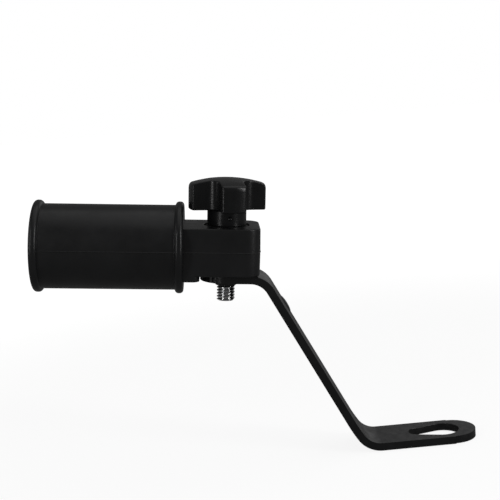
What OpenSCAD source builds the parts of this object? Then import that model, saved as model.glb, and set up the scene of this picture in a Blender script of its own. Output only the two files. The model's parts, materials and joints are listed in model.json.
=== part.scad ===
// Swivel bracket: a moulded tube socket that turns on a clamp bolt at the top of a
// bent steel strap. The strap's slotted foot bolts to whatever carries the bracket.
// Millimetres, +Z up, +Y from the socket's mouth towards the foot. The origin is the
// middle of the foot's slot, on the foot's underside.

/* [Strap] */
// Width of the steel strap
strap_w = 23.7; // [18:0.1:30]
// Thickness of the steel strap
strap_t = 3.6; // [2.5:0.1:5]
// Distance from the bolt's axis to the start of the upper bend
land_reach = 11; // [9:0.5:30]
// Inside radius of the upper bend, under the strap
upper_bend_r = 8.9; // [4:0.1:15]
// Angle of the sloping leg below the top land
leg_angle = 57.9; // [40:0.1:75]
// Straight length of the sloping leg
leg_len = 73; // [40:1:120]
// Part of the lower bend that is turned on the wide radius
ease_angle = 6.5; // [1:0.5:15]
// Inside radius of that slow first part of the lower bend
ease_r = 71; // [30:1:120]
// Inside radius of the lower bend, on top of the strap
lower_bend_r = 9.6; // [4:0.1:15]
// Angle between the foot and the top land
foot_tilt = 5.9; // [0:0.1:15]

/* [Foot] */
// Distance from the lower bend to the centre of the foot's round end
foot_len = 34.5; // [28:0.5:60]
// Radius of the foot's round end
foot_end_r = 11.2; // [8:0.1:11.8]
// Distance from the lower bend to the near end of the slot
slot_start = 14.1; // [4:0.1:20]
// End-to-end length of the slot
slot_len = 23.7; // [16:0.1:28]
// Width of the slot
slot_w = 14.4; // [6:0.1:15.5]

/* [Clamp bolt] */
// Outside diameter of the bolt's thread
bolt_d = 7.94; // [6:0.01:9]
// Length of bolt that shows below the strap's collar
bolt_tail = 6.3; // [2:0.1:15]
// Width across the flats of the bolt's head, inside the knob
bolt_head_af = 12.7; // [11:0.1:14]
// Height of the bolt's head
bolt_head_h = 5.2; // [4:0.1:6]
// Outside diameter of the tapped collar drawn down from the strap
collar_d = 11; // [10.5:0.1:14]
// Height of the collar below the strap
collar_h = 3; // [1:0.1:5]
// Taper at the collar's lower rim
collar_taper = 1.1; // [0.3:0.1:1.4]

/* [Socket tube] */
// Outside diameter of the tube
tube_d = 38.7; // [34:0.1:46]
// Wall of the tube
tube_wall = 3; // [2:0.1:4]
// Length of the tube over both rims
tube_len = 67.6; // [40:0.1:120]
// Thickness of the wall that closes the tube at the neck
end_wall = 3.2; // [2:0.1:5]
// How far each rim stands out of the tube
rim_h = 1.6; // [0.8:0.1:3]
// Width of each rim along the tube
rim_w = 3.8; // [3.4:0.1:6]
// Rounding of the rims' edges
rim_round = 1.6; // [0.3:0.1:1.65]
// Lead-in bevel at the socket's mouth
mouth_bevel = 1; // [0.3:0.1:1.5]

/* [Neck block] */
// Width of the neck block
block_w = 31; // [27:0.1:34]
// Height of the neck block
block_h = 21.7; // [16:0.1:28]
// Distance from the bolt's axis to the block's free end
block_front = 15.2; // [12.5:0.1:20]
// Distance from the bolt's axis to the tube's closed end
block_back = 19.4; // [18.6:0.1:30]
// Plan radius of the two corners at the free end
block_corner_r = 4.7; // [1:0.1:8]
// Rounding of the block's long edges
block_edge_r = 0.8; // [0.3:0.1:1.4]
// Depth of the stop lip below the block
lip_h = 2.4; // [1:0.1:3.5]
// Plan radius of the lip's corners
lip_corner_r = 3.3; // [1:0.1:6]
// Clearance between the lip and the strap's round end
lip_gap = 0.2; // [0.1:0.05:1]

/* [Knob] */
// Diameter over the knob's arms
knob_d = 35; // [30:0.1:36]
// Number of arms
knob_arms = 4; // [3:1:5]
// Width of each arm
arm_w = 9.4; // [7:0.1:12]
// Radius of the arms' outer corners
arm_corner_r = 1; // [0.3:0.1:2]
// Radius of the hollows between the arms
hollow_r = 5; // [2:0.1:6]
// Height of the head from the arms' underside to the crown
head_h = 14.3; // [10:0.1:20]
// Radius of the domed crown
crown_r = 60; // [35:1:120]
// Rounding where the crown meets the arms' ends
head_round = 1.7; // [0.5:0.1:2.5]
// Bevel around the arms' underside
head_bevel = 0.6; // [0.2:0.1:1.5]
// Diameter of the knob's shank
shank_d = 17.4; // [16:0.1:19]
// Height of the shank that shows above the block
shank_h = 7.2; // [4:0.1:15]
// Turn of the arms about the bolt, as in the photograph
knob_turned = 10.5; // [0:1:90]
// Diameter of the washer under the shank
washer_d = 20.4; // [19.5:0.1:24]
// Thickness of the washer
washer_t = 1; // [0.5:0.1:2]

/* [Fits] */
// Radial clearance of the bolt in the block and in the collar
bolt_gap = 0.08; // [0.05:0.01:0.1]
// Radial clearance of the washer in its seat
washer_gap = 0.25; // [0.15:0.05:0.5]
// Gap between faces that slide on each other
face_gap = 0.05; // [0.02:0.01:0.1]

/* [Hidden] */
$fn = 96;
SPARE = 1; // how far a cutting tool runs past the face it cuts
BEND_STEP = 2.5; // degrees between the points of a bend's outline
LAP = 0.02; // how much a rounding cut's circle is enlarged, so that it crosses the arm's sides

slot_mid = slot_start + slot_len / 2;
foot_end_y = foot_len - slot_mid;
lower_angle = leg_angle - ease_angle + foot_tilt;
leg_normal = -90 - lower_angle - ease_angle; // out of the leg's underside
lower_centre = [-slot_mid, strap_t + lower_bend_r];
ease_centre = lower_centre + (lower_bend_r - ease_r) * dir(-90 - lower_angle);
leg_top = ease_centre + ease_r * dir(leg_normal) + leg_len * dir(leg_normal - 90);
upper_centre = leg_top + (strap_t + upper_bend_r) * dir(leg_normal);
head_place = upper_centre + (strap_t + upper_bend_r) * dir(90 - foot_tilt)
    + land_reach * dir(180 - foot_tilt);
tube_axis_z = face_gap + block_h / 2;
tube_near_y = -block_back;
tube_far_y = tube_near_y - tube_len;
bore_r = bolt_d / 2 + bolt_gap;
block_top = face_gap + block_h;
washer_z = block_top - washer_t - face_gap;
shank_z = block_top;
head_z = block_top + shank_h;
lip_y = -strap_w / 2 - lip_gap;
bolt_head_z = head_z + (head_h - bolt_head_h) / 2;
bolt_end_z = -strap_t - collar_h - bolt_tail;

// --- strap --------------------------------------------------------------------
// The side view is drawn in the YZ plane. Angles in it go from +Y towards +Z.

function dir(angle) = [cos(angle), sin(angle)];

// Points of an arc, without its first one when it goes on from another arc
function arc(centre, r, from, turn, first = 0) =
    let (steps = ceil(abs(turn) / BEND_STEP))
    [for (i = [first : steps]) centre + r * dir(from + turn * i / steps)];

// The strap's length in side view, from the foot's end to the top end, at a depth
// below its top face
function strap_line(depth) = concat(
    [[foot_end_y + foot_end_r + SPARE, strap_t - depth]],
    arc(lower_centre, lower_bend_r + depth, -90, -lower_angle),
    arc(ease_centre, ease_r + depth, leg_normal + ease_angle, -ease_angle, first = 1),
    arc(upper_centre, upper_bend_r + strap_t - depth, leg_normal + 180, leg_angle),
    [head_place + (strap_w / 2 + SPARE) * dir(180 - foot_tilt) - depth * dir(90 - foot_tilt)]);

module bent_strap()
    rotate([90, 0, 90]) linear_extrude(strap_w, center = true) polygon(concat(
        strap_line(0), [for (i = [len(strap_line(0)) - 1 : -1 : 0]) strap_line(strap_t)[i]]));

// Places its children in the frame of the head: the top face at Z = 0, the clamp
// bolt on the Z axis
module at_head()
    translate([0, head_place[0], head_place[1]]) rotate([-foot_tilt, 0, 0]) children();

// What a round end of radius r leaves of a strap end that points along +Y
module end_offcut(r)
    translate([0, 0, -strap_t - SPARE]) linear_extrude(strap_t + 2 * SPARE) difference() {
        translate([-strap_w / 2 - SPARE, 0]) square([strap_w + 2 * SPARE, r + 3 * SPARE]);
        circle(r = r);
    }

module slot()
    translate([0, 0, -SPARE]) linear_extrude(strap_t + 2 * SPARE) {
        straight = slot_len - slot_w;
        square([slot_w, straight], center = true);
        for (end = [-1, 1]) translate([0, end * straight / 2]) circle(d = slot_w);
    }

module collar()
    translate([0, 0, -strap_t - collar_h]) rotate_extrude()
        polygon([[0, 0], [collar_d / 2 - collar_taper, 0], [collar_d / 2, collar_taper],
                 [collar_d / 2, collar_h + strap_t / 2], [0, collar_h + strap_t / 2]]);

module strap_arm() color("#26272a")
    difference() {
        union() {
            bent_strap();
            at_head() collar();
        }
        translate([0, foot_end_y, strap_t]) end_offcut(foot_end_r);
        at_head() rotate(180) end_offcut(strap_w / 2);
        slot();
        at_head() translate([0, 0, -strap_t - collar_h - SPARE])
            cylinder(r = bore_r, h = strap_t + collar_h + 2 * SPARE);
    }

// --- socket -------------------------------------------------------------------

// Rim in section: a band on the tube with both outer edges rounded
module rim_section(start) {
    top = tube_d / 2 + rim_h;
    translate([tube_d / 2 - tube_wall / 2, start])
        square([tube_wall / 2 + rim_h - rim_round, rim_w]);
    translate([tube_d / 2 - tube_wall / 2, start + rim_round])
        square([tube_wall / 2 + rim_h, rim_w - 2 * rim_round]);
    for (edge = [rim_round, rim_w - rim_round])
        translate([top - rim_round, start + edge]) circle(r = rim_round);
}

module tube_section() {
    square([tube_d / 2, tube_len]);
    rim_section(0);
    rim_section(tube_len - rim_w);
}

// Tube along +Y, from its mouth to its closed end
module tube()
    translate([0, tube_far_y, tube_axis_z]) rotate([-90, 0, 0]) difference() {
        rotate_extrude() tube_section();
        translate([0, 0, -SPARE])
            cylinder(d = tube_d - 2 * tube_wall, h = tube_len - end_wall + SPARE);
        translate([0, 0, -SPARE]) cylinder(
            r1 = tube_d / 2 - tube_wall + mouth_bevel + SPARE,
            r2 = tube_d / 2 - tube_wall,
            h = mouth_bevel + SPARE);
    }

// Rectangle from (x0, y0) to (x1, y1) with all corners rounded
module rounded_box(x0, y0, x1, y1, r) {
    translate([x0 + r, y0]) square([x1 - x0 - 2 * r, y1 - y0]);
    translate([x0, y0 + r]) square([x1 - x0, y1 - y0 - 2 * r]);
    for (x = [x0 + r, x1 - r], y = [y0 + r, y1 - r]) translate([x, y]) circle(r = r);
}

module block_plan() {
    translate([-block_w / 2, -block_back - end_wall / 2])
        square([block_w, block_back + end_wall / 2]);
    rounded_box(-block_w / 2, -block_back, block_w / 2, block_front, block_corner_r);
}

module block_front_view()
    rounded_box(-block_w / 2, face_gap, block_w / 2, block_top, block_edge_r);

module block_side_view()
    rounded_box(-block_back - end_wall - SPARE, face_gap, block_front, block_top, block_edge_r);

module block_body()
    intersection() {
        translate([0, 0, face_gap]) linear_extrude(block_h) block_plan();
        rotate([90, 0, 0]) linear_extrude(2 * (block_back + block_front) + 2 * end_wall, center = true)
            block_front_view();
        rotate([90, 0, 90]) linear_extrude(block_w + 2 * SPARE, center = true) block_side_view();
    }

// Lip under the block that the strap's sides meet at a quarter turn
module stop_lip()
    translate([0, 0, face_gap - lip_h]) linear_extrude(lip_h + block_edge_r + SPARE) {
        translate([-block_w / 2, -block_back - end_wall / 2])
            square([block_w, block_back + end_wall / 2 + lip_y - lip_corner_r]);
        rounded_box(-block_w / 2, -block_back, block_w / 2, lip_y, lip_corner_r);
    }

module socket_body() color("#2b2c2f")
    at_head() difference() {
        union() {
            tube();
            block_body();
            stop_lip();
        }
        translate([0, 0, face_gap - SPARE]) cylinder(r = bore_r, h = block_h + 2 * SPARE);
        translate([0, 0, washer_z - face_gap])
            cylinder(r = washer_d / 2 + washer_gap, h = washer_t + 2 * face_gap + SPARE);
    }

// --- clamp --------------------------------------------------------------------

module thrust_washer() color("#1b1c1e")
    at_head() translate([0, 0, washer_z]) difference() {
        cylinder(d = washer_d, h = washer_t);
        translate([0, 0, -SPARE]) cylinder(r = bore_r, h = washer_t + 2 * SPARE);
    }

// Space between two neighbouring arms, on either side of +X, with a round bottom
module hollow_plan() {
    half = 180 / knob_arms;
    centre = (arm_w / 2 + hollow_r) / sin(half);
    touch = [centre - hollow_r * sin(half), hollow_r * cos(half)];
    opening = touch + knob_d * [cos(half), sin(half)];
    translate([centre, 0]) circle(r = hollow_r);
    polygon([touch, opening, [opening[0], -opening[1]], [touch[0], -touch[1]]]);
}

// What rounding takes off an outer corner of the arm that lies along +X
module arm_corner_plan() {
    centre_y = arm_w / 2 - arm_corner_r;
    centre = [sqrt(pow(knob_d / 2 - arm_corner_r, 2) - pow(centre_y, 2)), centre_y];
    size = 2 * arm_corner_r;
    difference() {
        polygon([centre, centre + [0, size], centre + [size, size],
                 centre * (1 + size / norm(centre))]);
        translate(centre) circle(r = arm_corner_r + LAP);
    }
}

// Half section of the head: bevelled below, rounded at the rim, domed on top
module head_section() {
    r = knob_d / 2;
    crown_z = head_h - crown_r;
    rim_r = r - head_round;
    rim_z = crown_z + sqrt(pow(crown_r - head_round, 2) - pow(rim_r, 2));
    polygon([[0, 0], [r - head_bevel, 0], [r, head_bevel], [r, rim_z], [0, rim_z]]);
    translate([rim_r, rim_z]) circle(r = head_round);
    intersection() {
        translate([0, crown_z]) circle(r = crown_r, $fn = 360);
        polygon([[0, 0], [rim_r, rim_z], 2 * [rim_r, rim_z] - [0, crown_z], [0, 2 * head_h]]);
    }
}

module knob_head()
    difference() {
        rotate_extrude() head_section();
        translate([0, 0, -SPARE]) linear_extrude(head_h + 2 * SPARE)
            for (arm = [0 : knob_arms - 1]) rotate(arm * 360 / knob_arms) {
                rotate(180 / knob_arms) hollow_plan();
                for (side = [0, 1]) mirror([0, side, 0]) arm_corner_plan();
            }
    }

module bolt_solid(r, tail) {
    translate([0, 0, tail]) cylinder(r = r, h = bolt_head_z - tail + SPARE);
    translate([0, 0, bolt_head_z]) cylinder(d = bolt_head_af / cos(30), h = bolt_head_h, $fn = 6);
}

module knob() color("#19191b")
    at_head() rotate(knob_turned) difference() {
        union() {
            translate([0, 0, head_z]) knob_head();
            translate([0, 0, shank_z]) cylinder(d = shank_d, h = shank_h + head_bevel);
        }
        bolt_solid(bolt_d / 2, shank_z - SPARE);
    }

module clamp_bolt() color("#b9bcc0")
    at_head() rotate(knob_turned) bolt_solid(bolt_d / 2, bolt_end_z);

strap_arm();
socket_body();
thrust_washer();
knob();
clamp_bolt();
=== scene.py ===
"""Looks of the swivel bracket: its strap, tube socket, washer, knob and clamp bolt.

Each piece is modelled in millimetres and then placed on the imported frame.
"""

import json
import math

import bmesh
import bpy
from bpy.props import FloatProperty, FloatVectorProperty, IntProperty, PointerProperty
from mathutils import Matrix, Vector
from mathutils.bvhtree import BVHTree


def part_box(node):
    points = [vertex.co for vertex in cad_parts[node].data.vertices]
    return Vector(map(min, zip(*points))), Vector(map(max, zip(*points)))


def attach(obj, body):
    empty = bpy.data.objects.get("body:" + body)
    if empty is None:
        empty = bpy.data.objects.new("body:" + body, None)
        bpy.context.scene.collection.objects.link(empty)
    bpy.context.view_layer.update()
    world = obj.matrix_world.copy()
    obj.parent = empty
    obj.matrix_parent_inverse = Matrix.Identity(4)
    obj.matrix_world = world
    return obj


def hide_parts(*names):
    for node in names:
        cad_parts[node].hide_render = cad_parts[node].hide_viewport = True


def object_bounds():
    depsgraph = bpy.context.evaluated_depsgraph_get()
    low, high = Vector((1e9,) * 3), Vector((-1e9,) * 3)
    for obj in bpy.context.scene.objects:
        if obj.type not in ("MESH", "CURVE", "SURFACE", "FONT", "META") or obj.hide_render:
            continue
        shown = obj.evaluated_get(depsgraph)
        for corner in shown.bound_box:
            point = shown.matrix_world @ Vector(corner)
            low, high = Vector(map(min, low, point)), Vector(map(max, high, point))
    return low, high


bl_info = {
    "name": "Swivel Bracket",
    "version": (1, 0, 0),
    "blender": (4, 5, 0),
    "location": "View3D > Sidebar > Bracket",
    "description": "Builds a strap bracket whose tube socket swivels under a clamp knob",
    "category": "Add Mesh",
}

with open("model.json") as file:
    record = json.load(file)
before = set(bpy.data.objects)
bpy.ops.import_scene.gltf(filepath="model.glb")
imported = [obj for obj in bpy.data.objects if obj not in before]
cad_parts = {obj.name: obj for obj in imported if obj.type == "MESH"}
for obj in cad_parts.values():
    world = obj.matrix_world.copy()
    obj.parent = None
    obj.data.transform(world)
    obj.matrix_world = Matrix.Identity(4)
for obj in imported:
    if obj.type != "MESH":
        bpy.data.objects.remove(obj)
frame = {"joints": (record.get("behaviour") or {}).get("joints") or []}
CAD_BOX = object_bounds()

MM = 0.001
# In millimetres: points this near count as one, a fine cut snaps to points this near, and slivers this thin go
TINY = 1e-4
FINE_CUT = 1e-5
SLIVER = 0.002

# The head frame: origin where the bolt's axis meets the strap's top face, Z up the bolt
SWIVEL = next(joint for joint in frame["joints"] if joint["name"] == "tube_swivel")
HEAD_TILT = -math.atan2(SWIVEL["axis"][1], SWIVEL["axis"][2])
HEAD = (
    Matrix.Translation(Vector(SWIVEL["pos_m"]))
    @ Matrix.Rotation(HEAD_TILT, 4, "X")
    @ Matrix.Scale(MM, 4)
)

# The slot's middle is the row's origin, so the foot's tip lies this far from it, in millimetres
FOOT_TIP_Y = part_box("strap_arm")[1].y / MM


def length(name, description, default):
    """A length shown in scene units; the default is in millimetres."""
    return FloatProperty(name=name, description=description, default=default * MM, min=0, unit="LENGTH")


def angle(name, description, default):
    return FloatProperty(name=name, description=description, default=math.radians(default), subtype="ANGLE")


def colour(name, description, default):
    return FloatVectorProperty(
        name=name, description=description, default=default, size=3, min=0, max=1, subtype="COLOR"
    )


class StrapSizes(bpy.types.PropertyGroup):
    width: length("Width", "Width of the steel strap", 23.7)
    thickness: length("Thickness", "Thickness of the steel strap", 3.6)
    foot: length("Foot", "Straight length of the foot, from its tip to the lower bend", 45.7)
    foot_end: length("Foot end radius", "Radius of the foot's round end", 11.2)
    lower_bend: length("Lower bend", "Inside radius of the lower bend", 9.6)
    lower_turn: angle("Lower turn", "Angle of the lower bend", 57.3)
    ease: length("Ease radius", "Inside radius where the lower bend runs out into the leg", 71)
    ease_turn: angle("Ease turn", "Angle of that run-out", 6.5)
    leg: length("Leg", "Straight length of the sloping leg", 73)
    upper_bend: length("Upper bend", "Inside radius of the upper bend", 8.9)
    upper_turn: angle("Upper turn", "Angle of the upper bend", 57.9)
    land: length("Land", "Straight length of the top end, from the bend to its tip", 22.85)
    edge: length("Edge rounding", "Rounding of the strap's edges under the coating", 0.45)
    slot_length: length("Slot length", "End-to-end length of the slot", 23.7)
    slot_width: length("Slot width", "Width of the slot towards the foot's tip", 15.4)
    slot_narrow: length("Slot narrow end", "Width of the slot's narrow end", 8.6)
    collar: length("Collar diameter", "Outside diameter of the tapped collar", 11)
    collar_height: length("Collar height", "Height of the collar below the strap", 2.5)
    collar_taper: length("Collar taper", "Taper at the collar's lower rim", 1.1)
    shear: length("Shear marks", "Depth of the shear marks on the round top end", 0.2)
    run: length("Coating run", "Height of the run in the coating below the upper bend", 0.9)
    coat: colour("Coating", "Colour of the powder coating", (0.0032, 0.0033, 0.0035))


class SocketSizes(bpy.types.PropertyGroup):
    tube: length("Tube diameter", "Outside diameter of the tube", 38.7)
    wall: length("Wall", "Wall of the tube", 3)
    tube_length: length("Tube length", "Length of the tube over both rims", 67.6)
    end_wall: length("End wall", "Wall that closes the tube at the neck", 3.2)
    rim_height: length("Rim height", "How far each rim stands out of the tube", 1.6)
    rim_width: length("Rim width", "Width of each rim along the tube", 3.8)
    rim_round: length("Rim rounding", "Rounding of the rims' edges", 1.6)
    block_width: length("Block width", "Width of the neck block", 31)
    block_height: length("Block height", "Height of the neck block", 21.7)
    block_front: length("Block front", "From the bolt's axis to the block's free end", 15.2)
    block_back: length("Block back", "From the bolt's axis to the tube's closed end", 19.4)
    corner: length("Corner radius", "Plan radius of the free end's two corners", 6.2)
    edge: length("Edge rounding", "Rounding of the block's edges", 0.7)
    lip_height: length("Lip height", "Depth of the stop lip below the block", 2.4)
    lip_corner: length("Lip corner radius", "Plan radius of the lip's corners", 3.3)
    lip_gap: length("Lip gap", "From the stop lip to the strap's round end", 0.2)
    draft: angle("Draft", "Lean of the block's sides above and below the parting line", 0.7)
    seam: length("Seam height", "How far the mould's parting line stands out", 0.18)
    seam_width: length("Seam width", "Width of the mould's parting line", 0.42)
    plastic: colour("Plastic", "Colour of the socket's grained plastic", (0.0064, 0.0065, 0.0068))


class ClampSizes(bpy.types.PropertyGroup):
    gap: length("Sliding gap", "Gap between faces that slide on each other", 0.05)
    bore_gap: length("Bore gap", "Radial clearance of the bolt", 0.08)
    washer: length("Washer diameter", "Diameter of the washer under the knob", 20.4)
    washer_thickness: length("Washer thickness", "Thickness of the washer", 1)
    knob: length("Knob diameter", "Diameter over the knob's arms", 35)
    arms: IntProperty(name="Arms", description="Number of arms on the knob", default=4, min=3, max=6)
    arm: length("Arm width", "Width of each arm", 10.8)
    arm_corner: length("Arm corner radius", "Radius of the arms' outer corners", 1)
    hollow: length("Hollow radius", "Radius of the hollows between the arms", 5.6)
    head: length("Head height", "From the arms' underside to the crown", 14.3)
    crown: length("Crown radius", "Radius of the domed crown", 60)
    head_round: length("Head rounding", "Rounding of the crown into the arms' ends", 2.2)
    under_round: length("Underside rounding", "Rounding of the arms' lower edges", 0.7)
    shank: length("Shank diameter", "Diameter of the knob's shank", 17.8)
    dimple: length("Dimple diameter", "Diameter of the moulding mark in the shank", 2.1)
    shank_height: length("Shank height", "Height of the shank above the block", 7.2)
    turned: angle("Knob turn", "Turn of the arms about the bolt", 10.5)
    bolt: length("Thread diameter", "Outside diameter of the bolt's thread", 8.2)
    pitch: length("Thread pitch", "Pitch of the bolt's thread", 1.411)
    tail: length("Bolt tail", "Length of bolt that shows below the collar", 7.1)
    bolt_head: length("Bolt head", "Width across the flats of the bolt's head", 12.7)
    bolt_head_height: length("Bolt head height", "Height of the bolt's head", 5.2)
    knob_plastic: colour("Knob plastic", "Colour of the knob's smooth plastic", (0.0043, 0.0044, 0.0046))
    washer_plastic: colour("Washer plastic", "Colour of the washer", (0.0035, 0.0035, 0.0037))
    zinc: colour("Zinc", "Colour of the bolt's zinc plating", (0.62, 0.63, 0.65))


def sizes(group):
    """The lengths of a property group in millimetres, its angles in radians and the rest as they are."""
    named = type("Sizes", (), {})()
    for key, prop in group.bl_rna.properties.items():
        if key in ("rna_type", "name"):
            continue
        value = getattr(group, key)
        setattr(named, key, value / MM if prop.type == "FLOAT" and prop.unit == "LENGTH" else value)
    return named


def near(value, target):
    return abs(value - target) < TINY


# --- mesh work ------------------------------------------------------------------


def chain(bm, points):
    """Joins points into an open line of edges and returns its vertices and edges."""
    verts = [bm.verts.new(p) for p in points]
    return verts + [bm.edges.new(pair) for pair in zip(verts, verts[1:])]


def fillet(centre, r, start, turn, steps):
    """Points of a fillet in a (radius, height) section; angles in degrees."""
    return [
        (
            centre[0] + r * math.cos(math.radians(start + turn * i / steps)),
            centre[1] + r * math.sin(math.radians(start + turn * i / steps)),
        )
        for i in range(steps + 1)
    ]


def spun(bm, geom, turn, steps, centre=(0, 0, 0), rise=0, merge=False, copies=False):
    """Spins part of a mesh about an upright axis; rise is the climb at each step."""
    return bmesh.ops.spin(
        bm, geom=geom, cent=centre, axis=(0, 0, 1), dvec=(0, 0, rise), angle=turn, steps=steps,
        use_merge=merge, use_normal_flip=False, use_duplicate=copies,
    )


def turned_body(section, steps):
    """Spins a (radius, height) section once about Z and returns a closed shell."""
    bm = bmesh.new()
    spun(bm, chain(bm, [(r, 0, z) for r, z in section]), math.tau, steps, merge=True)
    return closed(bm)


def closed(bm):
    bmesh.ops.remove_doubles(bm, verts=bm.verts, dist=TINY)
    bmesh.ops.recalc_face_normals(bm, faces=bm.faces)
    return bm


def move(bm, matrix):
    bmesh.ops.transform(bm, matrix=matrix, space=Matrix.Identity(4), verts=bm.verts)
    return bm


def line_work(bm):
    return list(bm.verts) + list(bm.edges)


def sliced(bm, at, across, dist=TINY, **clear):
    """Cuts every face that a plane crosses."""
    geom = line_work(bm) + list(bm.faces)
    bmesh.ops.bisect_plane(bm, geom=geom, dist=dist, plane_co=at, plane_no=across, **clear)


def bevel(bm, edges, offset, segments):
    bmesh.ops.bevel(
        bm, geom=list(edges), offset=offset, offset_type="OFFSET", segments=segments, profile=0.5,
        affect="EDGES", material=-1, clamp_overlap=True,
    )


def as_object(bm, name):
    mesh = bpy.data.meshes.new(name)
    bm.to_mesh(mesh)
    bm.free()
    made = bpy.data.objects.new(name, mesh)
    bpy.context.scene.collection.objects.link(made)
    return made


def combine(bm, *steps):
    """Joins tools to a mesh or cuts them from it; steps are ("UNION" or "DIFFERENCE", tool mesh)."""
    body = as_object(bm, "work")
    tools = []
    for operation, tool in steps:
        tool = as_object(tool, "tool")
        tools.append(tool)
        cut = body.modifiers.new(operation, "BOOLEAN")
        cut.operation, cut.solver, cut.object = operation, "EXACT", tool
    bpy.context.view_layer.update()
    final = body.evaluated_get(bpy.context.evaluated_depsgraph_get()).to_mesh()
    result = bmesh.new()
    result.from_mesh(final)
    for used in [body, *tools]:
        mesh = used.data
        bpy.data.objects.remove(used)
        bpy.data.meshes.remove(mesh)
    return result


def finished(bm, name, place, material, body, slot, *stands_for, sharp=32):
    """Makes a piece from a mesh in millimetres, places it and tells the frame about it."""
    move(bm, place)
    piece = as_object(bm, name)
    piece.data.polygons.foreach_set("use_smooth", [True] * len(piece.data.polygons))
    piece.data.set_sharp_from_angle(angle=math.radians(sharp))
    piece.data.materials.append(material)
    shading = piece.modifiers.new("Flat faces stay flat", "WEIGHTED_NORMAL")
    shading.keep_sharp = True
    shading.weight = 50
    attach(piece, body)
    if stands_for:
        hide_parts(*stands_for)
    return piece


# --- materials ------------------------------------------------------------------


# Where most values of a noise lie
NOISE_LOW, NOISE_HIGH = 0.3, 0.7


class Surface:
    """A material whose nodes read Object coordinates, in metres."""

    def __init__(self, name, base, roughness, metallic=0.0, specular=0.5):
        self.material = bpy.data.materials.new(name)
        self.material.use_nodes = True
        self.nodes = self.material.node_tree.nodes
        self.links = self.material.node_tree.links
        self.shader = self.nodes["Principled BSDF"]
        self.shader.inputs["Base Color"].default_value = (*base, 1)
        self.shader.inputs["Roughness"].default_value = roughness
        self.shader.inputs["Metallic"].default_value = metallic
        self.shader.inputs["Specular IOR Level"].default_value = specular
        self.place = self.nodes.new("ShaderNodeTexCoord").outputs["Object"]
        self.height = None

    def noise(self, size_mm, detail):
        """Noise whose features are about size_mm across."""
        texture = self.nodes.new("ShaderNodeTexNoise")
        texture.inputs["Scale"].default_value = 1 / (size_mm * MM)
        texture.inputs["Detail"].default_value = detail
        self.links.new(self.place, texture.inputs["Vector"])
        return texture.outputs["Fac"]

    def spread(self, low, high, size_mm, detail):
        """Noise spread over low..high."""
        node = self.nodes.new("ShaderNodeMapRange")
        limits = {"From Min": NOISE_LOW, "From Max": NOISE_HIGH, "To Min": low, "To Max": high}
        for socket, number in limits.items():
            node.inputs[socket].default_value = number
        self.links.new(self.noise(size_mm, detail), node.inputs["Value"])
        return node.outputs["Result"]

    def tint(self, first, second, size_mm, detail=2):
        """Clouds the base colour from first to second."""
        node = self.nodes.new("ShaderNodeMix")
        node.data_type = "RGBA"
        node.inputs["A"].default_value = (*first, 1)
        node.inputs["B"].default_value = (*second, 1)
        self.links.new(self.spread(0, 1, size_mm, detail), node.inputs["Factor"])
        self.links.new(node.outputs["Result"], self.shader.inputs["Base Color"])

    def rough(self, low, high, size_mm, detail=2):
        self.links.new(self.spread(low, high, size_mm, detail), self.shader.inputs["Roughness"])

    def bump(self, depth_mm, size_mm, detail=2):
        """Adds relief to the surface, on top of what it has."""
        node = self.nodes.new("ShaderNodeBump")
        node.inputs["Distance"].default_value = depth_mm * MM
        self.links.new(self.noise(size_mm, detail), node.inputs["Height"])
        if self.height:
            self.links.new(self.height, node.inputs["Normal"])
        self.height = node.outputs["Normal"]
        self.links.new(self.height, self.shader.inputs["Normal"])


def shade(base, factor):
    return tuple(channel * factor for channel in base)


def powder_coat(base):
    """The strap's coating, with a soft orange peel and a fine grain."""
    surface = Surface("Powder coat", base, 0.36, specular=0.35)
    surface.tint(shade(base, 0.85), shade(base, 1.2), 9)
    surface.rough(0.3, 0.42, 3.5)
    surface.bump(0.05, 0.9, 3)
    surface.bump(0.012, 0.25, 1)
    return surface.material


def grained_plastic(base):
    """The socket's fine-grained plastic."""
    surface = Surface("Grained plastic", base, 0.32, specular=0.25)
    surface.tint(shade(base, 0.85), shade(base, 1.18), 14)
    surface.rough(0.28, 0.37, 5, 3)
    surface.bump(0.02, 0.3)
    return surface.material


def smooth_plastic(base):
    """The knob's glossier plastic, faintly uneven."""
    surface = Surface("Smooth plastic", base, 0.26, specular=0.25)
    surface.tint(shade(base, 0.85), shade(base, 1.2), 10)
    surface.rough(0.23, 0.3, 2.5, 3)
    surface.bump(0.003, 1.6)
    return surface.material


def washer_plastic(base):
    """The washer's dull plastic."""
    surface = Surface("Washer plastic", base, 0.6, specular=0.2)
    surface.tint(shade(base, 0.8), shade(base, 1.2), 4)
    surface.rough(0.52, 0.66, 1.5)
    surface.bump(0.01, 0.4)
    return surface.material


def bright_zinc(base):
    """The bolt's plating, clouded and a little warmer where it is lighter."""
    surface = Surface("Bright zinc", base, 0.18, metallic=1)
    surface.tint(shade(base, 0.82), (0.68, 0.68, 0.66), 2.5, 3)
    surface.rough(0.12, 0.26, 0.8, 3)
    surface.bump(0.004, 0.5)
    return surface.material


# --- strap ----------------------------------------------------------------------


def strap_run(s):
    """The strap's middle line from the foot's tip to the head's tip, as (length, turn)."""
    mid = s.thickness / 2
    return [
        (s.foot, 0),
        ((s.lower_bend + mid) * s.lower_turn, s.lower_turn),
        ((s.ease + mid) * s.ease_turn, s.ease_turn),
        (s.leg, 0),
        ((s.upper_bend + mid) * s.upper_turn, -s.upper_turn),
        (s.land, 0),
    ]


def along(heading):
    return Vector((0, -math.cos(heading), math.sin(heading)))


def square_to(heading):
    return Vector((0, math.sin(heading), math.cos(heading)))


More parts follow.
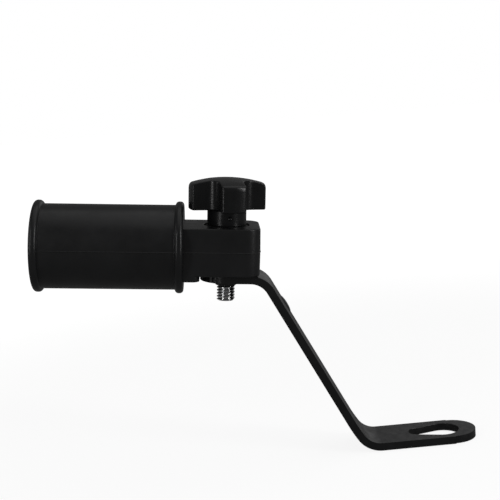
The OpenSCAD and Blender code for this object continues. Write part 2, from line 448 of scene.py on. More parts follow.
def bent(point, s):
    """Where a point of the flat blank lies on the bent strap.

    Its y runs along the middle line from the foot's tip, and its z stands off that line.
    """
    at, heading, left = Vector((0, FOOT_TIP_Y, s.thickness / 2)), 0.0, point.y
    run = strap_run(s)
    for count, (reach, turn) in enumerate(run):
        step = left if count == len(run) - 1 else min(left, reach)
        if turn:
            radius = reach / turn
            centre = at + radius * square_to(heading)
            heading += turn * step / reach
            at = centre - radius * square_to(heading)
        else:
            at += step * along(heading)
        left -= step
        if left <= 0:
            break
    return at + point.z * square_to(heading) + Vector((point.x, 0, 0))


def swung_on(bm, vert, centre, steps, turn=90):
    """Spins the end vertex of a line about a point of the blank, by degrees, and returns the new end."""
    ret = spun(bm, [vert], math.radians(turn), steps, centre)
    return next(g for g in ret["geom_last"] if isinstance(g, bmesh.types.BMVert))


def drawn_on(bm, vert, to):
    """Extrudes the end vertex of a line to a point and returns the new end."""
    new = bmesh.ops.extrude_vert_indiv(bm, verts=[vert])["verts"][0]
    new.co = to
    return new


def extrude_flat(bm, faces, height):
    ret = bmesh.ops.extrude_face_region(bm, geom=faces)
    verts = [g for g in ret["geom"] if isinstance(g, bmesh.types.BMVert)]
    bmesh.ops.translate(bm, vec=(0, 0, height), verts=verts)


# Rounding of the slot's two mouths
SLOT_ROUNDING = 0.3


def slot_outline(s):
    """The slot's plan about its middle, wide towards the foot's tip, and the y of its two ends' centres."""
    wide, narrow = s.slot_width / 2, s.slot_narrow / 2
    wide_y, narrow_y = wide - s.slot_length / 2, s.slot_length / 2 - narrow
    slant = math.asin((wide - narrow) / (narrow_y - wide_y))
    across, rise, slant = math.cos(slant), math.sin(slant), math.degrees(slant)
    bm = bmesh.new()
    end = bm.verts.new((wide * across, wide_y + wide * rise, 0))
    end = drawn_on(bm, end, (narrow * across, narrow_y + narrow * rise, 0))
    end = swung_on(bm, end, (0, narrow_y, 0), 28, 180 - 2 * slant)
    end = drawn_on(bm, end, (-wide * across, wide_y + wide * rise, 0))
    swung_on(bm, end, (0, wide_y, 0), 28, 180 + 2 * slant)
    bmesh.ops.remove_doubles(bm, verts=bm.verts, dist=TINY)
    return bm, wide_y, narrow_y


def slot_tool(s, half, at_y):
    """A cutter for the slot through a strap of half thickness half, with both mouths rounded."""
    bm, wide_y, narrow_y = slot_outline(s)
    middle = (wide_y + narrow_y) / 2
    core = {v: Vector((0, narrow_y if v.co.y > middle else wide_y, 0)) for v in bm.verts}
    home = {v: v.co - core[v] for v in bm.verts}
    shift = Vector((0, at_y, 0))
    # The cutter's side from above the strap to below it, as (step outwards, height)
    side = [
        (
            SLOT_ROUNDING * (1 - math.sin(math.radians(a))),
            half - SLOT_ROUNDING * (1 - math.cos(math.radians(a))),
        )
        for a in (0, 22.5, 45, 67.5, 90)
    ]
    side[0] = (SLOT_ROUNDING, half + 0.02)
    section = [(SLOT_ROUNDING, half + 1), *side]
    section += [(out, -z) for out, z in reversed(section)]
    ring, links = list(bm.verts), list(bm.edges)
    seeds = {v: v for v in ring}
    for count, (out, z) in enumerate(section):
        if count:
            ret = bmesh.ops.extrude_edge_only(bm, edges=links)
            ring = [g for g in ret["geom"] if isinstance(g, bmesh.types.BMVert)]
            fresh = set(ring)
            links = [g for g in ret["geom"] if isinstance(g, bmesh.types.BMEdge) and fresh.issuperset(g.verts)]
            seeds = {
                v: next(seeds[e.other_vert(v)] for e in v.link_edges if e.other_vert(v) in seeds) for v in ring
            }
        for v in ring:
            seed = seeds[v]
            v.co = core[seed] + home[seed] * (1 + out / home[seed].length) + shift + Vector((0, 0, z))
    bmesh.ops.holes_fill(bm, edges=bm.edges, sides=0)
    return closed(bm)


# Grooves across the strap's round top end: their angles from its tip and their half width, in radians
SHEAR_MARKS = (0.12, 0.34, 0.56, 0.76, 0.98, 1.25)
SHEAR_WIDTH = 0.06
# The foot's round end meets the strap's sides over this length
FOOT_SHOULDER = 0.5
# Half width and half length of the run in the coating
RUN_ACROSS, RUN_ALONG = 3.6, 5.4


def strap_blank(s, total):
    """The flat blank, with rounded edges and cut across where it will bend."""
    half, wide = s.thickness / 2, s.width / 2
    bm = bmesh.new()
    end = bm.verts.new((0, 0, half))
    end = swung_on(bm, end, (0, s.foot_end, half), 30)
    end = drawn_on(bm, end, (wide, s.foot_end + FOOT_SHOULDER, half))
    end = drawn_on(bm, end, (wide, total - wide, half))
    swung_on(bm, end, (0, total - wide, half), 90)
    for v in bm.verts:
        if v.co.y > total - wide + TINY:
            out = v.co - Vector((0, total - wide, half))
            turn = math.atan2(out.x, out.y)
            marks = sum(math.exp(-(((turn - mark) / SHEAR_WIDTH) ** 2)) for mark in SHEAR_MARKS)
            v.co -= out.normalized() * s.shear * marks
    bmesh.ops.mirror(bm, geom=line_work(bm), matrix=Matrix.Identity(4), merge_dist=TINY, axis="X")
    bmesh.ops.remove_doubles(bm, verts=bm.verts, dist=TINY)
    face = bmesh.ops.contextual_create(bm, geom=list(bm.edges))["faces"]
    extrude_flat(bm, face, -s.thickness)
    bmesh.ops.recalc_face_normals(bm, faces=bm.faces)
    rims = [e for e in bm.edges if near(abs(e.verts[0].co.z), half) and near(e.verts[0].co.z, e.verts[1].co.z)]
    bevel(bm, rims, s.edge, 3)

    at = 0
    for reach, turn in strap_run(s):
        if turn:
            steps = math.ceil(abs(math.degrees(turn)) / 2)
            for i in range(steps + 1):
                sliced(bm, (0, at + reach * i / steps, 0), (0, 1, 0), FINE_CUT)
        at += reach
    return bm


def collar_tools(s, c, half):
    """The tapped collar drawn out of the strap's underside, and the cutter for its hole."""
    collar, low = s.collar / 2, -half - s.collar_height
    buried, root = 0.6, 0.7
    body = turned_body(
        [(0, -half + buried), (collar + root, -half + buried), (collar + root, -half + 0.03)]
        + fillet((collar + root, -half - root), root, 90, 90, 5)
        # The lower rim's soft taper
        + [(collar, low + s.collar_taper + 0.3), (collar - 0.15, low + s.collar_taper - 0.1),
           (collar - s.collar_taper + 0.35, low + 0.15), (collar - s.collar_taper, low), (0, low)],
        64,
    )
    bore, flare = c.bolt / 2 + c.bore_gap, 0.3
    hole = turned_body(
        [(0, half + 1), (bore, half + 1), (bore, low + flare), (bore + flare, low)]
        + [(bore + flare, low - 1), (0, low - 1)],
        64,
    )
    return body, hole


def make_strap(s, c):
    half = s.thickness / 2
    total = sum(reach for reach, _ in strap_run(s))
    collar, hole = collar_tools(s, c, half)
    for tool in (collar, hole):
        move(tool, Matrix.Translation((0, total - s.width / 2, 0)))
    bm = combine(
        strap_blank(s, total),
        ("UNION", collar),
        ("DIFFERENCE", hole),
        ("DIFFERENCE", slot_tool(s, half, FOOT_TIP_Y)),
    )
    for v in bm.verts:
        v.co = bent(v.co, s)
    bmesh.ops.recalc_face_normals(bm, faces=bm.faces)

    # The run is a flat dome, sunk well into the strap so that no two faces lie in one plane
    at, out = placed("coating_run", bm, Matrix.Scale(MM, 4))
    dome = bmesh.new()
    bmesh.ops.create_uvsphere(dome, u_segments=32, v_segments=24, radius=1)
    turn = out.to_track_quat("Z", "Y").to_matrix().to_4x4()
    sunk = s.run * 2 / 3
    shape = Matrix.Diagonal((RUN_ACROSS, RUN_ALONG, s.run + sunk, 1))
    move(dome, Matrix.Translation(at - out * sunk) @ turn @ shape)
    bm = combine(bm, ("UNION", dome))
    bmesh.ops.remove_doubles(bm, verts=bm.verts, dist=SLIVER)
    return bm


# --- socket ---------------------------------------------------------------------


def tube_section(s):
    """Half section of the tube as (radius, height from its mouth).

    It runs from the middle of the inside end wall round the mouth to the middle of the outside end.
    """
    r, bore, long = s.tube / 2, s.tube / 2 - s.wall, s.tube_length
    peak, wide, rim = r + s.rim_height, s.rim_width, s.rim_round
    floor, inner, mouth = long - s.end_wall, 0.8, 1.4
    return (
        [(0, floor)]
        + [(bore - inner, floor)]
        + fillet((bore - inner, floor - inner), inner, 90, -90, 4)[1:]
        + [(bore, 1.2)]
        + fillet((bore + mouth, 1.0), mouth, 180, 60, 4)
        + [(bore + 0.9, 0.0)]
        + fillet((peak - rim, rim), rim, -90, 90, 8)
        + fillet((peak - rim, wide - rim), rim, 0, 78, 7)
        + [(r + 0.12, wide + 0.06), (r, wide + 0.3)]
        + [(r, long - wide - 0.3), (r + 0.12, long - wide - 0.06)]
        + fillet((peak - rim, long - wide + rim), rim, -78, 78, 7)
        + fillet((peak - rim, long - rim), rim, 0, 90, 8)
        + [(0, long)]
    )


# The two corners of a block's free end, as x and y signs
FREE_END = {(1, 1), (-1, 1)}


def rounded_block(low, high, corners, corner_r, corner_steps, edge, edge_steps, draft=0.0):
    """A box with some upright corners rounded in plan, its other edges rounded too.

    Corners are given by their x and y signs. With a draft the sides and the free end lean in above and
    below the middle.
    """
    bm = bmesh.new()
    bmesh.ops.create_cube(bm, size=1)
    size = Vector(high) - Vector(low)
    middle = (Vector(high) + Vector(low)) / 2
    bmesh.ops.scale(bm, vec=size, verts=bm.verts)
    bmesh.ops.translate(bm, vec=middle, verts=bm.verts)
    upright = []
    for e in bm.edges:
        a, b = (v.co for v in e.verts)
        corner = (1 if a.x > middle.x else -1), (1 if a.y > middle.y else -1)
        if near(a.x, b.x) and near(a.y, b.y) and corner in corners:
            upright.append(e)
    if upright:
        bevel(bm, upright, corner_r, corner_steps)
    rims = []
    for e in bm.edges:
        a, b = (v.co.z for v in e.verts)
        if near(a, b) and (near(a, low[2]) or near(a, high[2])):
            rims.append(e)
    bevel(bm, rims, edge, edge_steps)
    if draft:
        sliced(bm, middle, (0, 0, 1))
        for v in bm.verts:
            lean = abs(v.co.z - middle.z) * math.tan(draft)
            v.co.x -= math.copysign(lean, v.co.x)
            v.co.y -= lean if v.co.y > middle.y else 0
    return closed(bm)


def seam_strips(s, far, seam_z):
    """The mould's parting line along both sides of the tube."""
    r, thin, clear, sunk = s.tube / 2, s.seam_width / 2, s.rim_width - 0.5, 0.5
    for side in (1, -1):
        inner, outer = sorted((side * (r - sunk), side * (r + s.seam)))
        yield rounded_block(
            (inner, far + clear, seam_z - thin), (outer, -s.block_back - clear, seam_z + thin),
            set(), 0, 0, s.seam, 1,
        )


def seam_band(s, half, root, seam_z):
    """The mould's parting line round the block, from side to side."""
    thin, band = s.seam_width / 2, 0.6
    outside = rounded_block(
        (-half - s.seam, root, seam_z - thin), (half + s.seam, s.block_front + s.seam, seam_z + thin),
        FREE_END, s.corner + s.seam, 10, s.seam, 1,
    )
    inside = rounded_block(
        (-half + band, root - 1, seam_z - 1), (half - band, s.block_front - band, seam_z + 1),
        FREE_END, s.corner - band, 10, 0.05, 1,
    )
    return combine(outside, ("DIFFERENCE", inside))


def make_socket(s, c, strap):
    axis_z = c.gap + s.block_height / 2
    far = -s.block_back - s.tube_length
    tube = turned_body(tube_section(s), 128)
    move(tube, Matrix.Translation((0, far, axis_z)) @ Matrix.Rotation(-math.pi / 2, 4, "X"))
    top = c.gap + s.block_height
    half = s.block_width / 2
    root = -s.block_back - s.end_wall / 2
    block = rounded_block(
        (-half, root, c.gap), (half, s.block_front, top), FREE_END, s.corner, 10, s.edge, 3, s.draft)
    lip_y = -strap.width / 2 - s.lip_gap
    lip = rounded_block(
        (-half, root, c.gap - s.lip_height), (half, lip_y, c.gap + s.edge + 1),
        FREE_END, s.lip_corner, 8, 0.2, 2,
    )
    bore = c.bolt / 2 + c.bore_gap
    bore_tool = turned_body([(0, -2), (bore, -2), (bore, top + 2), (0, top + 2)], 64)
    # The washer's seat, with a small chamfer at its mouth
    seat, chamfer = c.washer / 2 + 0.25, 0.15
    seat_z = top - c.washer_thickness - 2 * c.gap
    seat_tool = turned_body(
        [(0, seat_z), (seat, seat_z), (seat, top - chamfer), (seat + chamfer, top)]
        + [(seat + chamfer, top + 1), (0, top + 1)],
        72,
    )
    shell = combine(
        tube, ("UNION", block), ("UNION", lip), ("DIFFERENCE", bore_tool), ("DIFFERENCE", seat_tool))
    strips = list(seam_strips(s, far, placed("tube_seam", shell, HEAD)[0].z))
    band = seam_band(s, half, root, placed("block_seam", shell, HEAD)[0].z)
    return combine(shell, *(("UNION", strip) for strip in strips), ("UNION", band))


# --- clamp ----------------------------------------------------------------------


def knob_outline(c):
    """The head's plan: half an arm up to the middle of a hollow, mirrored, and repeated for each arm."""
    bm = bmesh.new()
    r, corner, half_arm = c.knob / 2, c.arm_corner, c.arm / 2
    corner_y = half_arm - corner
    corner_x = math.sqrt((r - corner) ** 2 - corner_y**2)
    meet = math.degrees(math.atan2(corner_y, corner_x))
    step = math.pi / c.arms
    hollow_at = (half_arm + c.hollow) / math.sin(step)
    hollow = Vector((hollow_at * math.cos(step), hollow_at * math.sin(step), 0))
    touch = Vector((hollow.x, half_arm, 0))
    end = bm.verts.new((r, 0, 0))
    end = swung_on(bm, end, (0, 0, 0), 5, meet)
    end = swung_on(bm, end, (corner_x, corner_y, 0), 5, 90 - meet)
    end = drawn_on(bm, end, touch)
    swung_on(bm, end, hollow, 9, -(90 - math.degrees(step)))
    bmesh.ops.mirror(bm, geom=line_work(bm), matrix=Matrix.Identity(4), merge_dist=TINY, axis="Y")
    spun(bm, line_work(bm), math.tau * (c.arms - 1) / c.arms, c.arms - 1, copies=True)
    bmesh.ops.remove_doubles(bm, verts=bm.verts, dist=0.01)
    return bm


def crown_height(r, c):
    """Height of the domed crown at a radius, rounded down towards the arms' ends."""
    rounding = c.head_round
    rim = c.knob / 2 - rounding
    base = c.head - c.crown
    if r <= rim:
        return base + math.sqrt(c.crown**2 - r**2)
    rim_z = base + math.sqrt((c.crown - rounding) ** 2 - rim**2)
    return rim_z + math.sqrt(max(0.0, rounding**2 - (r - rim) ** 2))


def edges_at(bm, z):
    return [e for e in bm.edges if near(e.verts[0].co.z, z) and near(e.verts[1].co.z, z)]


def make_knob(c, top):
    bm = knob_outline(c)
    face = bmesh.ops.contextual_create(bm, geom=list(bm.edges))["faces"]
    extrude_flat(bm, face, c.head)
    bmesh.ops.recalc_face_normals(bm, faces=bm.faces)
    bevel(bm, edges_at(bm, c.head), 0.5, 3)
    bevel(bm, edges_at(bm, 0), c.under_round, 4)
    # Cut across both ways, closer near the arms' ends, so that the top can follow the crown
    ends = [c.knob / 2 - c.head_round * (1 - math.sin(math.radians(a))) for a in range(0, 90, 11)]
    for reach in [*(ends[0] * i / 9 for i in range(9)), *ends]:
        for across in (Vector((1, 0, 0)), Vector((0, 1, 0))):
            for side in (1, -1) if reach else (1,):
                sliced(bm, across * reach * side, across)
    for v in bm.verts:
        if v.co.z > c.head / 2:
            r = math.hypot(v.co.x, v.co.y)
            v.co.z += crown_height(min(r, c.knob / 2), c) - c.head
    head_z = top + c.shank_height
    move(bm, Matrix.Translation((0, 0, head_z)))
    # The shank flares into the head and reaches into it by buried
    r, foot, flare, buried = c.shank / 2, 0.35, 0.5, 0.6
    shank = turned_body(
        [(0, top), (r - foot, top)]
        + fillet((r - foot, top + foot), foot, -90, 90, 3)[1:]
        + [(r, head_z - flare)]
        + fillet((r + flare, head_z - flare), flare, 180, -90, 4)[1:]
        + [(r + flare, head_z + buried), (0, head_z + buried)],
        96,
    )
    shell = combine(bm, ("UNION", shank), ("DIFFERENCE", bolt_core(c, top, c.bolt / 2, top - 1)))
    move(shell, Matrix.Rotation(c.turned, 4, "Z"))
    # A ball a little wider than the dimple cuts it, from just outside the shank
    at, out = placed("dimple", shell, HEAD)
    ball = bmesh.new()
    bmesh.ops.create_uvsphere(ball, u_segments=24, v_segments=12, radius=c.dimple * 0.6)
    move(ball, Matrix.Translation(at + out * c.dimple * 0.3))
    return combine(shell, ("DIFFERENCE", ball))


def bolt_core(c, top, r, low):
    """The plain part of the bolt above a height, with its six-sided head."""
    head_z = top + c.shank_height + (c.head - c.bolt_head_height) / 2
    shank = turned_body([(0, low), (r, low), (r, head_z + 1), (0, head_z + 1)], 64)
    head = bmesh.new()
    corner = c.bolt_head / 2 / math.cos(math.pi / 6)
    bmesh.ops.create_cone(
        head, cap_ends=True, cap_tris=False, segments=6, radius1=corner, radius2=corner,
        depth=c.bolt_head_height,
    )
    bmesh.ops.translate(head, vec=(0, 0, head_z + c.bolt_head_height / 2), verts=head.verts)
    return combine(shank, ("UNION", head))


def make_bolt(c, strap, top):
    collar_z = -strap.thickness - strap.collar_height
    # The thread shows below the collar and runs some way up inside it
    low, thread_top = collar_z - c.tail, collar_z + 1.2
    pitch, crest, root = c.pitch, c.bolt / 2, c.bolt / 2 - 0.5 * c.pitch
    turns = math.ceil((thread_top - low) / pitch) + 2
    steps = 48
    bm = bmesh.new()
    # One turn of the thread, as (radius, part of the pitch)
    ease = 0.03
    section = (
        (root, 0), (root + ease, 0.12), (crest - ease, 0.38), (crest, 0.42),
        (crest, 0.61), (crest - ease, 0.65), (root + ease, 0.91), (root, 1),
    )
    geom = chain(bm, [(r, 0, pitch * part) for r, part in section])
    spun(bm, geom, math.tau * turns, steps * turns, rise=pitch / steps)
    bmesh.ops.remove_doubles(bm, verts=bm.verts, dist=SLIVER)
    bmesh.ops.translate(bm, vec=(0, 0, low - pitch), verts=bm.verts)
    sliced(bm, (0, 0, low), (0, 0, 1), FINE_CUT, clear_inner=True)
    sliced(bm, (0, 0, thread_top), (0, 0, 1), FINE_CUT, clear_outer=True)
    bmesh.ops.holes_fill(bm, edges=[e for e in bm.edges if e.is_boundary], sides=0)
    closed(bm)
    core = bolt_core(c, top, c.bolt / 2, thread_top - 0.2)
    # A cone takes the thread's end down to its root
    tip = root + 0.1
    end = turned_body(
        [(0, low - 1), (crest + 2, low - 1), (crest + 2, low + 1.7)]
        + [(tip, low), (tip, low - 0.5), (0, low - 0.5)],
        64,
    )
    bm = combine(bm, ("UNION", core), ("DIFFERENCE", end))
    return move(bm, Matrix.Rotation(c.turned, 4, "Z"))


def make_washer(c, top):
    r, bore = c.washer / 2, c.bolt / 2 + c.bore_gap
    low, high = top - c.washer_thickness - c.gap, top - c.gap
    rim, chamfer = 0.1, 0.15
    # The upper face falls away outside the shank, down to the rim
    rest = c.shank / 2 + 0.15
    section = (
        [(bore, low + chamfer), (bore + chamfer, low), (r - rim, low), (r, low + rim)]
        + [(r, low + 0.25), (r - rim, low + 0.32), (rest + 0.1, high - 0.06), (rest, high)]
        + [(bore + chamfer, high), (bore, high - chamfer), (bore, low + chamfer)]
    )
    return turned_body(section, 72)


# --- camera and stage -----------------------------------------------------------

PHOTO_W = PHOTO_H = 500
SENSOR = 36.0
LENS = 77.08
SHIFT_X = SHIFT_Y = 0.0
# The camera in the head frame's plan: millimetres across, away and up, and its aim in degrees
CAMERA_AT = (-7.16, -482.93, 91.28)
CAMERA_YAW, CAMERA_PITCH, CAMERA_ROLL = 2.134, 9.540, 1.041


def make_camera():
    """The camera stands off the bracket's +X side; photo right is the foot's +Y."""
    yaw, pitch, roll = (math.radians(a) for a in (CAMERA_YAW, CAMERA_PITCH, CAMERA_ROLL))
    ahead = Vector((math.sin(yaw), math.cos(yaw), 0))
    side = Vector((math.cos(yaw), -math.sin(yaw), 0))
    up = Vector((0, 0, 1))
    look = ahead * math.cos(pitch) - up * math.sin(pitch)
    rise = up * math.cos(pitch) + ahead * math.sin(pitch)
    right = side * math.cos(roll) + rise * math.sin(roll)
    top = rise * math.cos(roll) - side * math.sin(roll)
    turn = Matrix(((0, -1, 0), (1, 0, 0), (0, 0, 1)))  # photo axes to the head frame's
    right, top, look = turn @ right, turn @ top, turn @ look
    aim = Matrix((right, top, -look)).transposed().to_4x4()
    at = turn @ Vector(CAMERA_AT)
    tilt = Matrix.Rotation(HEAD_TILT, 4, "X")
    data = bpy.data.cameras.new("Camera")
    data.sensor_fit, data.sensor_width, data.lens = "AUTO", SENSOR, LENS
    data.shift_x, data.shift_y = SHIFT_X, SHIFT_Y
    data.clip_start, data.clip_end = 0.01, 20
    camera = bpy.data.objects.new("Camera", data)
    camera.matrix_world = Matrix.Translation(HEAD @ at) @ tilt @ aim
    bpy.context.scene.collection.objects.link(camera)
    bpy.context.scene.camera = camera
    return camera


# How bright the white surroundings are in gloss and as light on the object, where 1 is white
STUDIO_GLOSS, STUDIO_LIGHT = 0.13, 0.4
FLOOR_GLOSS, FLOOR_LIGHT = 0.06, 0.5
FLOOR_COLOUR, FLOOR_GLOW = (0.1, 0.1, 0.1), 0.88
# In metres: the floor's radius, how far it lies below the bracket, and where its glow starts and ends its rise
FLOOR_RADIUS, FLOOR_DROP = 3, 0.0004
FADE_START, FADE_END = 0.22, 0.6
# The lamps aim here. Each has a name, a place, a width and height in metres and a power in watts. The camera
# looks from +X and the foot is at +Y.
STAGE_MIDDLE = (0, -0.07, 0.07)
LAMPS = (
    ("Overhead softbox", (-0.1, 0.25, 1.05), (1.2, 1.2), 3.0),
    ("Back panel", (-1.2, 0.72, 0.32), (1.4, 0.7), 0.8),
    ("Side panel", (-0.15, -1.2, 0.4), (0.5, 0.7), 1.2),
    ("Left strip", (0.56, -0.6, 0.36), (0.1, 0.66), 1.9),
    ("Right strip", (0.4, 0.5, 0.36), (0.14, 0.66), 3.0),
)


def ray_level(nodes, links, gloss, light):
    """Full strength for the camera and through glass, and dimmer in gloss and as light on the object."""
    rays = nodes.new("ShaderNodeLightPath")
    total = 0
    for ray, level in (("Camera", 1), ("Transmission", 1), ("Glossy", gloss), ("Diffuse", light)):
        step = nodes.new("ShaderNodeMath")
        step.operation = "MULTIPLY_ADD"
        step.inputs[1].default_value = level
        links.new(rays.outputs[f"Is {ray} Ray"], step.inputs[0])
        if total:
            links.new(total, step.inputs[2])
        else:
            step.inputs[2].default_value = 0
        total = step.outputs[0]
    return total


def stage_material(name, shade_colour, glow):
    """A matt floor that keeps the object's shadow and glows up to the photograph's white."""
    material = bpy.data.materials.new(name)
    material.use_nodes = True
    nodes, links = material.node_tree.nodes, material.node_tree.links
    shader = nodes["Principled BSDF"]
    shader.inputs["Base Color"].default_value = (*shade_colour, 1)
    shader.inputs["Roughness"].default_value = 1
    shader.inputs["Specular IOR Level"].default_value = 0
    shader.inputs["Emission Color"].default_value = (1, 1, 1, 1)
    # Away from the object the glow rises until the floor is plain white
    place = nodes.new("ShaderNodeTexCoord")
    reach = nodes.new("ShaderNodeVectorMath")
    reach.operation = "LENGTH"
    links.new(place.outputs["Object"], reach.inputs[0])
    fade = nodes.new("ShaderNodeMapRange")
    fade.interpolation_type = "SMOOTHSTEP"
    limits = {"From Min": FADE_START, "From Max": FADE_END, "To Min": glow, "To Max": 1}
    for socket, number in limits.items():
        fade.inputs[socket].default_value = number
    links.new(reach.outputs["Value"], fade.inputs["Value"])
    strength = nodes.new("ShaderNodeMath")
    strength.operation = "MULTIPLY"
    links.new(fade.outputs["Result"], strength.inputs[1])
    links.new(ray_level(nodes, links, FLOOR_GLOSS, FLOOR_LIGHT), strength.inputs[0])
    links.new(strength.outputs[0], shader.inputs["Emission Strength"])
    return material


def area_light(name, at, aim, size, power):
    data = bpy.data.lights.new(name, "AREA")
    data.shape, data.size, data.size_y = "RECTANGLE", size[0], size[1]
    data.energy = power
    light = bpy.data.objects.new(name, data)
    look = Vector(aim) - Vector(at)
    light.visible_camera = False
    light.matrix_world = Matrix.Translation(at) @ look.to_track_quat("-Z", "Y").to_matrix().to_4x4()
    bpy.context.scene.collection.objects.link(light)


def make_stage():
    floor = bmesh.new()
    bmesh.ops.create_circle(floor, cap_ends=True, segments=96, radius=FLOOR_RADIUS)
    bmesh.ops.translate(floor, vec=(0, 0, CAD_BOX[0][2] - FLOOR_DROP), verts=floor.verts)
    floor = as_object(floor, "floor")
    floor.data.materials.append(stage_material("Pale floor", FLOOR_COLOUR, FLOOR_GLOW))

    world = bpy.data.worlds.new("World")
    bpy.context.scene.world = world
    world.use_nodes = True
    nodes, links = world.node_tree.nodes, world.node_tree.links
    back = nodes["Background"]
    back.inputs["Color"].default_value = (1, 1, 1, 1)
    links.new(ray_level(nodes, links, STUDIO_GLOSS, STUDIO_LIGHT), back.inputs["Strength"])

    for name, at, size, power in LAMPS:
        area_light(name, at, STAGE_MIDDLE, size, power)


# --- image points ---------------------------------------------------------------

# Where the photograph shows each thing, in its 500 x 500 frame; one number for an edge
IMAGE_POINTS = {
    "left": (27.5, None),
    "right": (475.4, None),
    "top": (None, 176.7),
    "bottom": (None, 450.3),
    "knob_left": (189.0, None),
    "knob_right": (266.0, None),
    "bolt_end": (None, 301.0),
    "block_end": (260.8, None),
    "tube_seam": (110.0, 252.3),
    "block_seam": (215.0, 253.4),
    "dimple": (230.0, 219.0),
    "coating_run": (285.5, 303.6),
}
PIECES = ("bent_strap", "tube_socket", "knob_grip", "knob_washer", "threaded_bolt")
PLACED = {}
# The bracket lies between these distances from the camera, in millimetres
CAMERA_REACH = (350, 650)


def image_ray(x, y):
    """A ray through an image point, as its start and its direction in the row frame."""
    camera = bpy.context.scene.camera
    longest = max(PHOTO_W, PHOTO_H)
    through = Vector((
        x - PHOTO_W / 2 + SHIFT_X * longest,
        PHOTO_H / 2 - y + SHIFT_Y * longest,
        -longest * LENS / SENSOR,
    ))
    return camera.matrix_world.translation.copy(), (camera.matrix_world.to_3x3() @ through).normalized()


def shown_at(point):
    """Image x and y of a point in the row frame."""
    longest = max(PHOTO_W, PHOTO_H)
    local = bpy.context.scene.camera.matrix_world.inverted() @ Vector(point)
    k = longest * LENS / SENSOR / -local.z
    return PHOTO_W / 2 - SHIFT_X * longest + local.x * k, PHOTO_H / 2 + SHIFT_Y * longest - local.y * k


def placed(name, carrier, place):
    """Where an image point lies on the mesh that carries it, and the surface's direction there.

    Both are in the mesh's own frame, which place takes to the row frame. A ray that misses takes the place
    nearest to it.
    """
    home = place.inverted()
    start, direction = image_ray(*IMAGE_POINTS[name])
    start, direction = home @ start, (home.to_3x3() @ direction).normalized()
    tree = BVHTree.FromBMesh(carrier)
    hit, normal, _, _ = tree.ray_cast(start, direction)
    if hit is None:
        steps = (start + direction * away for away in range(*CAMERA_REACH))
        hit, normal, _, _ = tree.find_nearest(min(steps, key=lambda p: tree.find_nearest(p)[3]))
    PLACED[name] = place @ hit
    return hit, normal.normalized()


def shown_verts(*names):
    """Image x and y of the vertices of finished pieces, with the vertices."""
    graph = bpy.context.evaluated_depsgraph_get()
    verts = []
    for name in names:
        piece = bpy.data.objects[name].evaluated_get(graph)
        verts += [piece.matrix_world @ v.co for v in piece.to_mesh().vertices]
        piece.to_mesh_clear()
    return [(*shown_at(v), v) for v in verts]


def write_points():
    """Works out how far each thing shows from its image point."""
    bpy.context.view_layer.update()
    flat = shown_verts(*PIECES)
    knob = shown_verts("knob_grip")
    block = [p for p in shown_verts("tube_socket") if (HEAD.inverted() @ p[2]).y > 0]
    shown = {
        "left": (min(p[0] for p in flat), None),
        "right": (max(p[0] for p in flat), None),
        "top": (None, min(p[1] for p in flat)),
        "bottom": (None, max(p[1] for p in flat)),
        "knob_left": (min(p[0] for p in knob), None),
        "knob_right": (max(p[0] for p in knob), None),
        "bolt_end": (None, max(p[1] for p in shown_verts("threaded_bolt"))),
        "block_end": (max(p[0] for p in block), None),
    }
    shown.update({name: shown_at(at) for name, at in PLACED.items()})
    rows = {
        name: {
            axis: {"point": at, "shown": round(now, 2), "off": round(now - at, 2)}
            for axis, at, now in zip("xy", IMAGE_POINTS[name], shown[name])
            if at is not None and now is not None
        }
        for name in IMAGE_POINTS if name in shown
    }


# --- operators ------------------------------------------------------------------


class BuildStage(bpy.types.Operator):
    """Adds the camera, the pale floor and the soft lights"""

    bl_idname = "bracket.stage"
    bl_label = "Stage"

    def execute(self, context):
        make_camera()
        make_stage()
        context.scene.view_settings.view_transform = "Standard"
        return {"FINISHED"}


class BuildStrap(bpy.types.Operator):
    """Bends the slotted steel strap with its tapped collar"""

    bl_idname = "bracket.strap"
    bl_label = "Strap"

    def execute(self, context):
        s, c = sizes(context.scene.bracket_strap), sizes(context.scene.bracket_clamp)
        finished(
            make_strap(s, c), "bent_strap", Matrix.Scale(MM, 4), powder_coat(s.coat), "strap",
            "powder_coated_steel", "strap_arm")
        return {"FINISHED"}


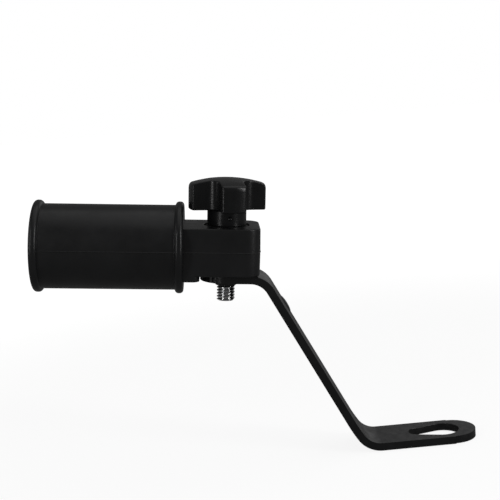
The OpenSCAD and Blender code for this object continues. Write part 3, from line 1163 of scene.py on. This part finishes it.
class BuildSocket(bpy.types.Operator):
    """Turns the tube socket and joins its neck block and stop lip"""

    bl_idname = "bracket.socket"
    bl_label = "Socket"

    def execute(self, context):
        scene = context.scene
        s, c, strap = sizes(scene.bracket_socket), sizes(scene.bracket_clamp), sizes(scene.bracket_strap)
        finished(
            make_socket(s, c, strap), "tube_socket", HEAD, grained_plastic(s.plastic), "socket",
            "socket_plastic", "socket_body")
        return {"FINISHED"}


class BuildClamp(bpy.types.Operator):
    """Makes the knob, its washer and the threaded bolt"""

    bl_idname = "bracket.clamp"
    bl_label = "Clamp"

    def execute(self, context):
        scene = context.scene
        c, strap, socket = sizes(scene.bracket_clamp), sizes(scene.bracket_strap), sizes(scene.bracket_socket)
        top = c.gap + socket.block_height
        finished(
            make_knob(c, top), "knob_grip", HEAD, smooth_plastic(c.knob_plastic), "hand_knob",
            "knob_plastic", "knob")
        finished(
            make_washer(c, top), "knob_washer", HEAD, washer_plastic(c.washer_plastic), "washer",
            "washer_plastic", "thrust_washer")
        finished(
            make_bolt(c, strap, top), "threaded_bolt", HEAD, bright_zinc(c.zinc), "hand_knob",
            "zinc_plated_steel", "clamp_bolt", sharp=50)
        return {"FINISHED"}


class BracketPanel(bpy.types.Panel):
    bl_idname = "VIEW3D_PT_bracket"
    bl_label = "Swivel bracket"
    bl_space_type = "VIEW_3D"
    bl_region_type = "UI"
    bl_category = "Bracket"

    def draw(self, context):
        for group in ("bracket_strap", "bracket_socket", "bracket_clamp"):
            box = self.layout.box()
            owner = getattr(context.scene, group)
            for key in owner.bl_rna.properties.keys():
                if key not in ("rna_type", "name"):
                    box.prop(owner, key)
        for operator in OPERATORS:
            self.layout.operator(operator.bl_idname)


OPERATORS = (BuildStage, BuildStrap, BuildSocket, BuildClamp)
CLASSES = (StrapSizes, SocketSizes, ClampSizes, *OPERATORS, BracketPanel)
GROUPS = {"bracket_strap": StrapSizes, "bracket_socket": SocketSizes, "bracket_clamp": ClampSizes}


def register():
    for made in CLASSES:
        bpy.utils.register_class(made)
    for name, group in GROUPS.items():
        setattr(bpy.types.Scene, name, PointerProperty(type=group))


def unregister():
    for name in GROUPS:
        delattr(bpy.types.Scene, name)
    for made in reversed(CLASSES):
        bpy.utils.unregister_class(made)


def main():
    register()
    for operator in OPERATORS:
        kind, name = operator.bl_idname.split(".")
        getattr(getattr(bpy.ops, kind), name)()
    write_points()


if __name__ == "__main__":
    main()
